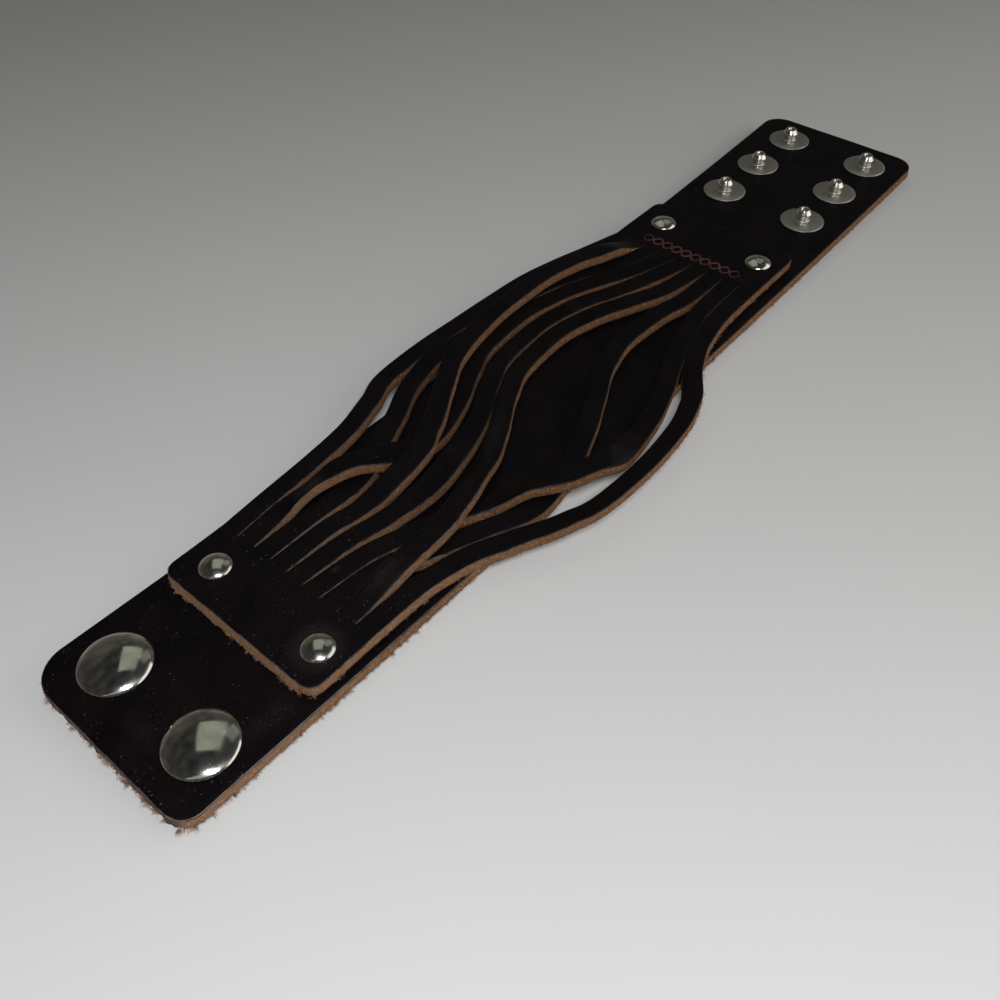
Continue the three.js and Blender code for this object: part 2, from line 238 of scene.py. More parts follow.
def corner_rows(radius, edge):
    """Rows from an end of the leather to where its corners end."""
    near = edge_steps(edge)
    arc = [radius * (1 - math.cos(math.radians(angle))) for angle in range(20, 91, 7)]
    return sorted(near + [row for row in arc if row > near[-1] + 0.1 * MM])


WALL_SHARES = (0.12, 0.3, 0.5, 0.7, 0.88)


class Hide:
    """Builds a flat piece of leather, cut into strips that may lie over one another.

    A strip has rows along it. In a row its face and its underside have the same columns, and
    its cut sides are walls between them. Flat places are kept beside the real ones, so that
    the grain follows the leather as it was before it was woven.
    """

    def __init__(self, thickness, edge_round, rough):
        self.thickness = thickness
        self.edge_round = edge_round
        self.rough = rough
        self.places = []
        self.flats = []
        self.rawness = []
        self.faces = []
        self.slots = []

    def point(self, place, flat, raw):
        self.places.append(place)
        self.flats.append(flat)
        self.rawness.append(raw)
        return len(self.places) - 1

    def wall_points(self, top_number, bottom_number, outward, slack, lean=0.0):
        """Points down a cut side, pushed in and out so that it looks torn and fibrous."""
        top, bottom = Vector(self.places[top_number]), Vector(self.places[bottom_number])
        flat_top, flat_bottom = Vector(self.flats[top_number]), Vector(self.flats[bottom_number])
        made = []
        for share in WALL_SHARES:
            flat = flat_top.lerp(flat_bottom, share)
            fine = noise.noise(flat * 1900)
            coarse = noise.noise(flat * 420 + Vector((7, 3, 1)))
            frayed = abs(noise.noise(flat * 2600 + Vector((2, 9, 4)))) * share**2
            push = self.rough * slack * (0.6 * fine + 0.5 * coarse + 1.6 * frayed) + lean * share
            made.append(self.point(top.lerp(bottom, share) + outward * push, flat, 1))
        return made

    def add_face(self, corners, slot):
        self.faces.append(corners)
        self.slots.append(slot)

    def strip(self, rows, columns):
        """rows: one dict for each row, with its two sides in place, flat and rounding.
        columns: distances from either side, and shares between them."""
        rings = []
        for row in rows:
            plus, minus = row["sides"]
            flat_plus, flat_minus = row["flat_sides"]
            width = (flat_minus - flat_plus).length
            near, inner = columns
            shares = [d / width for d in near]
            flat_part = 1 - 2 * near[-1] / width
            shares += [near[-1] / width + flat_part * share for share in inner]
            shares += [1 - d / width for d in reversed(near)]
            face, under = [], []
            for share in shares:
                flat = flat_plus.lerp(flat_minus, share)
                base = plus.lerp(minus, share)
                distance = share * width
                drop = max(
                    row["round"][0] * edge_drop(distance, self.edge_round),
                    row["round"][1] * edge_drop(width - distance, self.edge_round),
                    edge_drop(row["outline"](flat), self.edge_round) if row["outline"] else 0,
                )
                swell = 0.05 * MM * noise.noise(flat * 90)
                raw = 0.45 * drop / self.edge_round
                top = base + UP * (self.thickness - drop + swell)
                face.append(self.point(top, Vector((flat.x, flat.y, self.thickness - drop)), raw))
                under.append(self.point(base + UP * (0.5 * drop), Vector((flat.x, flat.y, 0)), 1))
            rings.append({"row": row, "face": face, "under": under, "walls": [None, None]})
        for ring in rings:
            for side, column in ((0, 0), (1, -1)):
                if ring["row"]["open"][side]:
                    ring["walls"][side] = self.side_wall(ring, column, ring["row"]["outward"][side], side)
        for here, there in zip(rings, rings[1:]):
            count = len(here["face"])
            for c in range(count - 1):
                f, g = here["face"], there["face"]
                self.add_face((f[c], f[c + 1], g[c + 1], g[c]), 0)
                f, g = here["under"], there["under"]
                self.add_face((f[c], g[c], g[c + 1], f[c + 1]), 2)
            for side, column in ((0, 0), (1, -1)):
                if here["walls"][side] is None or there["walls"][side] is None:
                    continue
                first = [here["face"][column], *here["walls"][side], here["under"][column]]
                second = [there["face"][column], *there["walls"][side], there["under"][column]]
                self.join(first, second, side == 1)
        return rings

    def side_wall(self, ring, column, outward, side):
        slack = ring["row"]["slack"][side]
        return self.wall_points(ring["face"][column], ring["under"][column], outward, slack)

    def join(self, first, second, turned):
        for k in range(len(first) - 1):
            quad = (first[k], second[k], second[k + 1], first[k + 1])
            self.add_face(quad[::-1] if turned else quad, 1)

    def end_wall(self, ring, outwards, turned, lean=0.0):
        """The wall across the end of a strip."""
        columns = []
        for top, bottom in zip(ring["face"], ring["under"]):
            outward = outwards(Vector(self.flats[top]))
            columns.append([top, *self.wall_points(top, bottom, outward, 1, lean), bottom])
        for first, second in zip(columns, columns[1:]):
            self.join(first, second, turned)

    def finish(self, name, materials):
        mesh = bpy.data.meshes.new(name)
        mesh.from_pydata([tuple(p) for p in self.places], [], self.faces)
        flat = mesh.attributes.new("flat", "FLOAT_VECTOR", "POINT")
        flat.data.foreach_set("vector", np.array([tuple(f) for f in self.flats]).ravel() / MM)
        raw = mesh.attributes.new("raw", "FLOAT", "POINT")
        raw.data.foreach_set("value", np.array(self.rawness))
        for material in materials:
            mesh.materials.append(material)
        mesh.polygons.foreach_set("material_index", self.slots)
        piece = link_piece(name, mesh)
        merge_close(mesh)
        shade_smooth(mesh)
        mesh.set_sharp_from_angle(angle=math.radians(50))
        return piece


def link_piece(name, mesh):
    piece = bpy.data.objects.new(name, mesh)
    bpy.context.scene.collection.objects.link(piece)
    return piece


def shade_smooth(mesh):
    mesh.polygons.foreach_set("use_smooth", [True] * len(mesh.polygons))


def plain_mesh(name, places, faces, material):
    mesh = bpy.data.meshes.new(name)
    mesh.from_pydata([tuple(place) for place in places], [], faces)
    mesh.materials.append(material)
    shade_smooth(mesh)
    return mesh


def merge_close(mesh, gap=0.002 * MM):
    work = bmesh.new()
    work.from_mesh(mesh)
    bmesh.ops.remove_doubles(work, verts=work.verts, dist=gap)
    bmesh.ops.dissolve_degenerate(work, edges=work.edges, dist=gap)
    bmesh.ops.recalc_face_normals(work, faces=work.faces)
    work.to_mesh(mesh)
    work.free()


def outline_distance(span, halves, corners):
    """How far a flat point lies inside a rounded outline, and the outward direction there.

    halves gives the two half widths at a place along the leather, and corners the radii of the
    corners: for each end, the one on the +Y side and the one on the -Y side.
    """

    def measure(flat):
        minus = flat.y < 0
        half = halves(flat.x)[minus]
        from_ends = (flat.x, span - flat.x)
        side = -1 if minus else 1
        for end in (0, 1):
            corner = corners[end][minus]
            reach = corner - from_ends[end]
            over = abs(flat.y) - (half - corner)
            if reach > 0 and over > 0:
                gap = corner - math.hypot(reach, over)
                heading = Vector((reach * (-1 if end == 0 else 1), over * side, 0)).normalized()
                return gap, heading
        sideways = half - abs(flat.y)
        nearest = min(*from_ends, sideways)
        if nearest == sideways:
            return sideways, Vector((0, side, 0))
        return nearest, Vector((-1 if from_ends[0] < from_ends[1] else 1, 0, 0))

    return measure


def row_sides(x, span, halves, corners):
    """The two sides of a row, with the corners taken off."""
    sides = list(halves(x))
    for distance, radii in zip((x, span - x), corners):
        for minus in (0, 1):
            corner = radii[minus]
            if distance < corner:
                sides[minus] -= corner - math.sqrt(max(0, corner**2 - (corner - distance) ** 2))
    return sides[0], -sides[1]


def strap_shape(leather):
    """The strap's length, half widths and corners. Its +Y side curves in and its -Y side out."""
    span = STRAP_HIGH.x - STRAP_LOW.x
    near, far = leather.cap_end_width / 2, leather.stud_end_width / 2
    bows = [2 * half - (near + far) / 2 for half in (leather.plus_half, leather.minus_half)]

    def halves(x):
        run = span - leather.cap_end_corner - leather.stud_end_corner
        share = min(1, max(0, (x - leather.cap_end_corner) / run))
        ends = near * (1 - share) ** 2 + far * share**2
        return [ends + 2 * bow * share * (1 - share) for bow in bows]

    far_corner = leather.stud_end_corner
    return span, halves, ((leather.cap_end_corner, leather.front_corner), (far_corner, far_corner))


def strap_origin():
    offset = 0.4 * MM
    return Vector((STRAP_LOW.x, SNAP_LINE + offset, STRAP_LOW.z))


def outline_row(origin, flat_sides, measure, cut):
    """A row whose face rounds off along a whole outline. cut tells which sides have a wall."""
    return {
        "sides": [origin + flat for flat in flat_sides],
        "flat_sides": flat_sides,
        "round": (0, 0),
        "outline": lambda flat: measure(flat)[0],
        "outward": [measure(flat)[1] for flat in flat_sides],
        "open": cut,
        "slack": (1, 1),
    }


def make_strap_mesh(leather):
    span, halves, corners = strap_shape(leather)
    measure = outline_distance(span, halves, corners)
    origin = strap_origin()
    hide = Hide(leather.thickness, leather.edge_round, 0.34 * MM)
    near = corner_rows(leather.cap_end_corner, leather.edge_round)
    far = [span - row for row in reversed(corner_rows(leather.stud_end_corner, leather.edge_round))]
    rows = []
    for x in near + spread(near[-1], far[0], 0.4 * MM) + far:
        flat_sides = [Vector((x, side, 0)) for side in row_sides(x, span, halves, corners)]
        rows.append(outline_row(origin, flat_sides, measure, (True, True)))
    inner = [i / 40 for i in range(1, 40)]
    rings = hide.strip(rows, (edge_steps(leather.edge_round), inner))
    hide.end_wall(rings[0], lambda flat: measure(flat)[1], True)
    hide.end_wall(rings[-1], lambda flat: measure(flat)[1], False)
    return hide


def panel_width(leather):
    return STRAND_COUNT * leather.strand_pitch - leather.slit_width


def panel_origin():
    offset = 0.3 * MM
    return Vector((PANEL_LOW.x, SNAP_LINE + offset, STRAP_TOP))


def panel_shape(leather):
    half = panel_width(leather) / 2
    corner = leather.panel_corner
    return PANEL_LENGTH, lambda _: (half, half), ((corner, corner), (corner, corner))


def tab_row(leather, measure, lane_number, x):
    """A row of one strip in the uncut ends of the panel."""
    half = panel_width(leather) / 2
    scale = row_sides(x, *panel_shape(leather))[0] / half
    lane = lane_number * leather.strand_pitch
    sides = []
    for side in (1, -1):
        y = lane + side * leather.strand_pitch / 2
        sides.append(Vector((x, max(-half, min(half, y)) * scale, 0)))
    cut = (lane_number == LAST_LANE, lane_number == -LAST_LANE)
    return outline_row(panel_origin(), sides, measure, cut)


def strand_row(leather, path, strand, share):
    """A row of one strand between the two ends of the slits."""
    slit_start = leather.slit_inset
    slit_length = PANEL_LENGTH - leather.slit_inset - leather.slit_inset_far
    step = 0.004

    def place(at):
        point = lane_point(path, min(1, max(0, at)))
        return Vector((slit_start + point.x * slit_length, point.y * leather.strand_pitch, 0))

    here, run = place(share), place(share + step) - place(share - step)
    from_end = min(share, 1 - share) * slit_length
    opened = smooth_step(0, 12 * MM, from_end)
    groove = smooth_step(-0.2 * MM, 0.5 * MM, from_end)
    heading = math.atan2(run.y, run.x) * smooth_step(0, 4 * MM, from_end)
    sideways = Vector((-math.sin(heading), math.cos(heading), 0))
    along = lane_point(path, share).x
    shift = smooth_step(0.55, 0.95, share)
    lane = (1 - shift) * WEAVE[0]["lanes"][strand] + shift * WEAVE[-1]["lanes"][strand]
    lane *= leather.strand_pitch
    lift = leather.thickness + leather.crossing_gap
    sides, flat_sides, slack = [], [], []
    for side in (1, -1):
        is_outer = strand == (0 if side == 1 else STRAND_COUNT - 1)
        gap = leather.slit_width if is_outer else leather.slit_width * opened
        half = (leather.strand_pitch - gap) / 2
        up = Vector((0, 0, lift * raised_share(strand, side, along)))
        sides.append(panel_origin() + here + sideways * (side * half) + up)
        flat_sides.append(Vector((slit_start + share * slit_length, lane + side * half, 0)))
        slack.append(1 if is_outer else 0.45 * opened)
    rounding = [1 if strand == 0 else groove, 1 if strand == STRAND_COUNT - 1 else groove]
    return {
        "sides": sides,
        "flat_sides": flat_sides,
        "round": rounding,
        "outline": None,
        "outward": [sideways, -sideways],
        "open": (True, True),
        "slack": slack,
    }


def strand_path(strand):
    return [Vector((row["along"], row["lanes"][strand])) for row in WEAVE]


def make_panel_mesh(leather):
    measure = outline_distance(*panel_shape(leather))
    hide = Hide(leather.thickness, leather.edge_round, 0.3 * MM)
    ends = corner_rows(leather.panel_corner, leather.edge_round)
    near = ends + spread(ends[-1], leather.slit_inset, 0.7 * MM)
    far = [PANEL_LENGTH - row for row in ends + spread(ends[-1], leather.slit_inset_far, 0.7 * MM)][::-1]
    slit_steps = 220
    shares = sorted({i / slit_steps for i in range(slit_steps + 1)} | {0.002, 0.998})
    for strand in range(STRAND_COUNT):
        path = strand_path(strand)
        rows = [tab_row(leather, measure, WEAVE[0]["lanes"][strand], x) for x in near]
        rows += [strand_row(leather, path, strand, share) for share in shares]
        rows += [tab_row(leather, measure, WEAVE[-1]["lanes"][strand], x) for x in far]
        rings = hide.strip(rows, (edge_steps(leather.edge_round), (0.2, 0.4, 0.6, 0.8)))
        hide.end_wall(rings[0], lambda flat: measure(flat)[1], True, leather.panel_lean)
        hide.end_wall(rings[-1], lambda flat: measure(flat)[1], False)
    return hide


def tube(points, radii, sides):
    """Corners and faces of a thin closed tube along the points."""
    corners, faces = [], []
    for i, (point, radius) in enumerate(zip(points, radii)):
        run = (points[min(i + 1, len(points) - 1)] - points[max(i - 1, 0)]).normalized()
        across = run.orthogonal().normalized()
        other = run.cross(across)
        for k in range(sides):
            angle = 2 * math.pi * k / sides
            corners.append(point + (across * math.cos(angle) + other * math.sin(angle)) * radius)
    for i in range(len(points) - 1):
        for k in range(sides):
            a, b = i * sides + k, i * sides + (k + 1) % sides
            faces.append((a, b, b + sides, a + sides))
    faces.append(tuple(reversed(range(sides))))
    faces.append(tuple(range((len(points) - 1) * sides, len(points) * sides)))
    return corners, faces


class Fibres:
    """Loose fibres on the cut edges, in tufts."""

    def __init__(self, seed):
        self.random = random.Random(seed)
        self.places = []
        self.faces = []

    def fibre(self, root, heading, reach, radius):
        draw = self.random
        side = heading.orthogonal().normalized()
        side.rotate(Matrix.Rotation(draw.uniform(0, 2 * math.pi), 3, heading))
        points = []
        for share in (0, 0.35, 0.7, 1):
            bend = side * (draw.uniform(0.1, 0.5) * reach * share**2)
            points.append(root + heading * (reach * share) + bend)
        corners, faces = tube(points, [radius, radius * 0.85, radius * 0.6, radius * 0.25], 3)
        start = len(self.places)
        self.places.extend(corners)
        self.faces.extend(tuple(start + corner for corner in face) for face in faces)

    def tuft(self, root, outward, reach, count, floor):
        draw = self.random
        along = Vector((-outward.y, outward.x, 0))
        for _ in range(count):
            spot = root + along * draw.gauss(0, 0.18 * MM) + Vector((0, 0, draw.uniform(-0.1, 0.3) * MM))
            heading = outward + along * draw.gauss(0, 0.6) + Vector((0, 0, draw.uniform(-0.35, 0.25)))
            heading.normalize()
            size = reach * draw.uniform(0.5, 1.15)
            low = spot.z + heading.z * size
            if low < floor:
                heading.z = max(heading.z, (floor - spot.z) / size)
            self.fibre(spot - outward * (0.1 * MM), heading, size, draw.uniform(0.035, 0.07) * MM)

    def finish(self, name, material):
        return link_piece(name, plain_mesh(name, self.places, self.faces, material))


def turned(name, profile, sides, materials):
    """A turned piece from (radius, height) points, which start low and end high on the axis."""
    places, rings = [], []
    for radius, height in profile:
        if radius < 1e-7:
            places.append((0, 0, height))
            rings.append([len(places) - 1])
            continue
        ring = []
        for k in range(sides):
            angle = 2 * math.pi * k / sides
            places.append((radius * math.cos(angle), radius * math.sin(angle), height))
            ring.append(len(places) - 1)
        rings.append(ring)
    faces = []
    for here, there in zip(rings, rings[1:]):
        for k in range(sides):
            n = (k + 1) % sides
            if len(here) == 1:
                faces.append((here[0], there[n], there[k]))
            elif len(there) == 1:
                faces.append((here[k], here[n], there[0]))
            else:
                faces.append((here[k], here[n], there[n], there[k]))
    mesh = bpy.data.meshes.new(name)
    mesh.from_pydata(places, [], faces)
    for material in materials:
        mesh.materials.append(material)
    shade_smooth(mesh)
    mesh.set_sharp_from_angle(angle=math.radians(38))
    return mesh


def arc(centre, radii, start, end, steps):
    """Profile points on an elliptic arc, its angles in degrees."""
    points = []
    for i in range(steps + 1):
        angle = math.radians(start + (end - start) * i / steps)
        points.append((centre[0] + radii[0] * math.cos(angle), centre[1] + radii[1] * math.sin(angle)))
    return points


def dome(radius, low, high, steps):
    """Profile of a pressed dome from its rim up to its middle, rounder near the rim."""
    slopes = []
    for i in range(4 * steps + 1):
        share = i / (4 * steps)
        lean = 0.36 * share / 0.8 if share < 0.8 else 0.36 + 0.24 * (share - 0.8) / 0.2
        slopes.append(math.tan(math.asin(lean)))
    drops = [0]
    for here, there in zip(slopes, slopes[1:]):
        drops.append(drops[-1] + (here + there) / 2)
    scale = (high - low) / drops[-1]
    return [(radius * i / (4 * steps), high - drops[i] * scale) for i in range(4 * steps, -1, -4)]


def lean_dome(mesh, radius, rim, heading, amount):
    """A copy of a domed piece whose dome leans a little, its rim kept."""
    leaning = mesh.copy()
    for vertex in leaning.vertices:
        x, y, z = vertex.co
        if z > rim:
            inside = max(0, 1 - (x * x + y * y) / radius**2)
            vertex.co.z += amount * (x * heading[0] + y * heading[1]) * inside
    return leaning


def sock(node, name):
    return next(socket for socket in node.inputs if socket.name == name and socket.enabled)


class Shader:
    """A material's nodes, made one after another."""

    def __init__(self, name):
        self.material = bpy.data.materials.new(name)
        self.material.use_nodes = True
        self.tree = self.material.node_tree
        self.tree.nodes.clear()
        output = self.tree.nodes.new("ShaderNodeOutputMaterial")
        self.surface = self.tree.nodes.new("ShaderNodeBsdfPrincipled")
        self.tree.links.new(self.surface.outputs[0], output.inputs["Surface"])

    def put(self, socket, value):
        if isinstance(value, bpy.types.NodeSocket):
            self.tree.links.new(value, socket)
        elif hasattr(value, "__len__"):
            needs_alpha = socket.type == "RGBA" and len(value) == 3
            socket.default_value = (*value, 1) if needs_alpha else tuple(value)
        else:
            socket.default_value = value

    def set(self, name, value):
        self.put(self.surface.inputs[name], value)

    def attribute(self, name, output):
        node = self.tree.nodes.new("ShaderNodeAttribute")
        node.attribute_name = name
        return node.outputs[output]

    def object_place(self):
        return self.tree.nodes.new("ShaderNodeTexCoord").outputs["Object"]

    def stretched(self, vector, scale):
        node = self.tree.nodes.new("ShaderNodeMapping")
        self.put(node.inputs["Vector"], vector)
        node.inputs["Scale"].default_value = scale
        return node.outputs[0]

    def noise(self, vector, scale, detail=3, roughness=0.5, distortion=0.0):
        node = self.tree.nodes.new("ShaderNodeTexNoise")
        self.put(node.inputs["Vector"], vector)
        node.inputs["Scale"].default_value = scale
        node.inputs["Detail"].default_value = detail
        node.inputs["Roughness"].default_value = roughness
        node.inputs["Distortion"].default_value = distortion
        return node.outputs["Fac"]

    def cells(self, vector, scale):
        node = self.tree.nodes.new("ShaderNodeTexVoronoi")
        self.put(node.inputs["Vector"], vector)
        node.inputs["Scale"].default_value = scale
        return node.outputs["Distance"]

    def maths(self, operation, first, second=0.0, clamp=False):
        node = self.tree.nodes.new("ShaderNodeMath")
        node.operation = operation
        node.use_clamp = clamp
        self.put(node.inputs[0], first)
        self.put(node.inputs[1], second)
        return node.outputs[0]

    def times(self, first, second, clamp=False):
        return self.maths("MULTIPLY", first, second, clamp)

    def plus(self, first, second, clamp=False):
        return self.maths("ADD", first, second, clamp)

    def minus(self, first, second):
        return self.maths("SUBTRACT", first, second)

    def remap(self, value, low, high, out_low=0.0, out_high=1.0):
        node = self.tree.nodes.new("ShaderNodeMapRange")
        node.interpolation_type = "SMOOTHSTEP"
        for socket, number in zip(node.inputs, (value, low, high, out_low, out_high)):
            self.put(socket, number)
        return node.outputs[0]

    def mix(self, factor, first, second):
        node = self.tree.nodes.new("ShaderNodeMix")
        node.data_type = "RGBA"
        self.put(sock(node, "Factor"), factor)
        self.put(sock(node, "A"), first)
        self.put(sock(node, "B"), second)
        return node.outputs[2]

    def axes(self, vector):
        node = self.tree.nodes.new("ShaderNodeSeparateXYZ")
        self.put(node.inputs[0], vector)
        return node.outputs

    def bump(self, height, distance, strength=1.0, below=None):
        node = self.tree.nodes.new("ShaderNodeBump")
        self.put(node.inputs["Height"], height)
        node.inputs["Distance"].default_value = distance
        node.inputs["Strength"].default_value = strength
        if below is not None:
            self.put(node.inputs["Normal"], below)
        return node.outputs[0]

    def near(self, value, place, reach):
        """1 at a place on an axis, fading to 0 at the reach."""
        away = self.maths("ABSOLUTE", self.minus(value, place))
        return self.remap(away, 0, reach, 1, 0)


def face_material(name, leather, scuffs_and_sheen, halos, polished=()):
    """The dyed good side: smooth, with fine pores, thin spots in the dye, scratches and dust, given scuffs
    and halos, and the painted sheen and painted highlight lines that stand in for light on the leather.
    """
    s = Shader(name)
    flat = s.attribute("flat", "Vector")
    raw = s.attribute("raw", "Fac")
    clouds = s.noise(flat, 0.11, 4, 0.6)
    fine = s.noise(flat, 2.6, 5, 0.65)
    pores = s.cells(flat, 3.4)
    x, y, _ = s.axes(flat)
    tint = s.mix(s.remap(clouds, 0.35, 0.72), leather.face_colour, leather.worn_colour)
    scratches = s.noise(s.stretched(flat, (0.16, 2.6, 1)), 1.3, 2, 0.5, 0.6)
    scratch = s.remap(s.maths("ABSOLUTE", s.minus(scratches, 0.5)), 0, 0.012, 1, 0)
    patches = s.remap(s.noise(flat, 0.35, 2), 0.56, 0.7)
    scratch = s.times(scratch, patches)
    dust = s.remap(s.cells(flat, 1.5), 0.06, 0.13, 1, 0)
    dust = s.times(dust, s.remap(s.noise(flat, 0.32, 3), 0.5, 0.64))
    lint = s.remap(s.cells(s.stretched(flat, (0.5, 1.3, 1)), 0.7), 0.04, 0.08, 1, 0)
    dust = s.maths("MAXIMUM", dust, s.times(lint, 0.5))
    dust = s.times(dust, s.remap(x, 22, 55, 1, 0.1))
    scuff_and_sheen = 0.0
    # Scuff spots lighten and roughen the face; the panel's first spot is a painted sheen, not a scuff.
    for place in scuffs_and_sheen:
        spot = s.times(s.near(x, place["x"], place["long"]), s.near(y, place["y"], place["wide"]))
        spot = s.times(spot, s.remap(s.noise(flat, 1.7, 4, 0.7), 0.3, 0.65))
        scuff_and_sheen = s.maths("MAXIMUM", scuff_and_sheen, s.times(spot, place["strength"]))
    for place in halos:
        dx = s.minus(x, place["x"])
        dy = s.minus(y, place["y"])
        away = s.maths("SQRT", s.plus(s.times(dx, dx), s.times(dy, dy)))
        ring = s.remap(away, place["inner"], place["outer"], place["strength"], 0)
        scuff_and_sheen = s.maths("MAXIMUM", scuff_and_sheen, s.times(ring, s.remap(fine, 0.3, 0.7, 0.5, 1)))
    wear = s.remap(s.plus(raw, s.times(fine, 0.3)), 0.16, 0.42)
    wear = s.times(wear, s.remap(s.noise(flat, 0.6, 3), 0.35, 0.6, 0.35, 1))
    wear = s.times(wear, s.remap(x, 18, 80, 1, 0.16))
    colour = s.mix(s.times(scuff_and_sheen, 0.45, True), tint, (0.045, 0.037, 0.04))
    colour = s.mix(s.times(scratch, 0.13), colour, (0.1, 0.09, 0.09))
    colour = s.mix(s.times(dust, s.remap(fine, 0.35, 0.7, 0.2, 0.9)), colour, (0.26, 0.24, 0.28))
    colour = s.mix(s.times(wear, 0.85), colour, leather.rubbed_colour)
    # Painted highlight: each given line paints a pale band along the rounded top edge, fading away from
    # the cap end, in place of the light the edge catches.
    for place in polished:
        line = s.times(s.near(raw, 0.1, 0.08), s.remap(x, place["start"], place["end"], 1, 0))
        line = s.times(line, s.remap(y, place["side"] - 3, place["side"], 1, 0))
        line = s.times(line, s.remap(s.noise(flat, 0.4, 3), 0.35, 0.6, 0.4, 1))
        colour = s.mix(line, colour, (0.2, 0.185, 0.19))
    s.set("Base Color", colour)
    rough = s.remap(clouds, 0.3, 0.75, 0.38, 0.48)
    gloss = s.times(s.remap(raw, 0.01, 0.1, 0, 0.18), s.remap(x, 25, 80, 1, 0))
    rough = s.minus(rough, gloss)
    rough = s.plus(rough, s.times(s.plus(scuff_and_sheen, dust), 0.14), True)
    s.set("Roughness", rough)
    s.set("Specular IOR Level", 0.085)
    grain = s.plus(s.times(fine, 0.6), s.times(pores, 0.5))
    normal = s.bump(grain, 0.03 * MM, 0.5)
    normal = s.bump(s.noise(flat, 0.3, 3), 0.3 * MM, 0.35, normal)
    s.set("Normal", s.bump(s.minus(1, scratch), 0.03 * MM, 0.6, normal))
    return s.material


def raw_material(name, leather, dark_front=False):
    """Cut edges: tan fibres in layers, darker below, and fuzzy, with painted light that makes them paler
    towards the cap end.
    """
    s = Shader(name)
    flat = s.attribute("flat", "Vector")
    x, _, depth = s.axes(flat)
    layers = s.noise(s.stretched(flat, (0.6, 1, 2.2)), 2.4, 6, 0.75, 0.5)
    clumps = s.noise(flat, 0.8, 3, 0.6)
    specks = s.noise(flat, 4.2, 4, 0.75)
    dark = tuple(channel * 0.24 for channel in leather.raw_colour)
    pale = (0.6, 0.37, 0.2)
    colour = s.mix(s.remap(layers, 0.4, 0.6), dark, leather.raw_colour)
    colour = s.mix(s.remap(specks, 0.52, 0.68), colour, pale)
    colour = s.mix(s.remap(specks, 0.48, 0.34), colour, dark)
    thickness = leather.thickness / MM
    colour = s.mix(s.remap(depth, 0, thickness * 0.4, 0.5, 0), colour, dark)
    colour = s.mix(s.remap(clumps, 0.52, 0.72, 0, 0.45), colour, (0.1, 0.045, 0.03))
    # Painted light: the cut edges turn paler towards the cap end, where the light falls strongest.
    colour = s.mix(s.remap(x, 3, 55, 0.24, 0), colour, (0.55, 0.34, 0.2))
    if dark_front:
        colour = s.mix(s.remap(x, 0.1, 1.5, 0.8, 0), colour, (0.05, 0.03, 0.022))
    dye = s.remap(s.plus(depth, s.times(layers, 0.4)), thickness * 0.93, thickness * 1.08)
    colour = s.mix(dye, colour, leather.worn_colour)
    s.set("Base Color", colour)
    s.set("Roughness", 0.85)
    s.set("Specular IOR Level", 0.1)
    s.set("Sheen Weight", 0.1)
    s.set("Sheen Roughness", 0.6)
    s.set("Sheen Tint", (0.8, 0.6, 0.5))
    normal = s.bump(layers, 0.25 * MM, 1)
    s.set("Normal", s.bump(specks, 0.16 * MM, 1, normal))
    return s.material


def flesh_material(name, leather):
    """The underside: brushed flesh side."""
    s = Shader(name)
    flat = s.attribute("flat", "Vector")
    nap = s.noise(s.stretched(flat, (0.6, 1.4, 1)), 1.8, 6, 0.7, 0.5)
    clouds = s.noise(flat, 0.09, 4, 0.6)
    light = tuple(min(1, channel * 1.7) for channel in leather.flesh_colour)
    colour = s.mix(s.remap(nap, 0.3, 0.7), leather.flesh_colour, light)
    colour = s.mix(s.remap(clouds, 0.4, 0.7, 0, 0.5), colour, (0.05, 0.028, 0.02))
    s.set("Base Color", colour)
    s.set("Roughness", 0.9)
    s.set("Specular IOR Level", 0.15)
    s.set("Sheen Weight", 0.3)
    s.set("Sheen Roughness", 0.5)
    s.set("Normal", s.bump(nap, 0.12 * MM, 0.8))
    return s.material


def fibre_material(name, leather):
    s = Shader(name)
    place = s.object_place()
    colour = s.mix(s.remap(s.noise(place, 260, 2), 0.35, 0.6), (0.12, 0.05, 0.035), leather.raw_colour)
    colour = s.mix(s.remap(s.noise(place, 900, 2), 0.4, 0.65), colour, (0.42, 0.3, 0.22))
    s.set("Base Color", colour)
    s.set("Roughness", 0.8)
    s.set("Specular IOR Level", 0.2)
    return s.material


def nickel_material(name, plate, roughness, haze):
    """Plated metal: polished or satin, with haze, fine scratches and finger marks."""
    s = Shader(name)
    place = s.object_place()
    mottle = s.noise(place, 190, 4, 0.6, 0.4)
    marks = s.noise(place, 1500, 4, 0.7)
    dull = tuple(channel * 0.82 for channel in plate)
    s.set("Base Color", s.mix(s.remap(mottle, 0.4, 0.62), plate, dull))
    s.set("Metallic", 1.0)
    rough = s.remap(mottle, 0.35, 0.75, roughness, roughness + haze)
    s.set("Roughness", s.plus(rough, s.times(s.remap(marks, 0.6, 0.75), 0.08), True))
    lines = s.noise(s.stretched(place, (1, 5, 1)), 2600, 2, 0.5, 0.3)
    normal = s.bump(lines, 0.002 * MM, 0.35)
    s.set("Normal", s.bump(mottle, 0.012 * MM, 0.5, normal))
    return s.material


def settings():
    scene = bpy.context.scene
    return scene.cuff_leather, scene.cuff_metal, scene.cuff_stage


def seat(piece, slot_name, *nodes):
    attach(piece, BODY)
    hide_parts(*nodes)


def place_copy(mesh, name, node, slot_name, height):
    """One turned piece over the CAD node that it stands for, its zero height on the leather."""
    piece = link_piece(name, mesh)
    centre = middle(node)
    piece.location = (centre.x, centre.y, height)
    seat(piece, slot_name, node)
    return piece


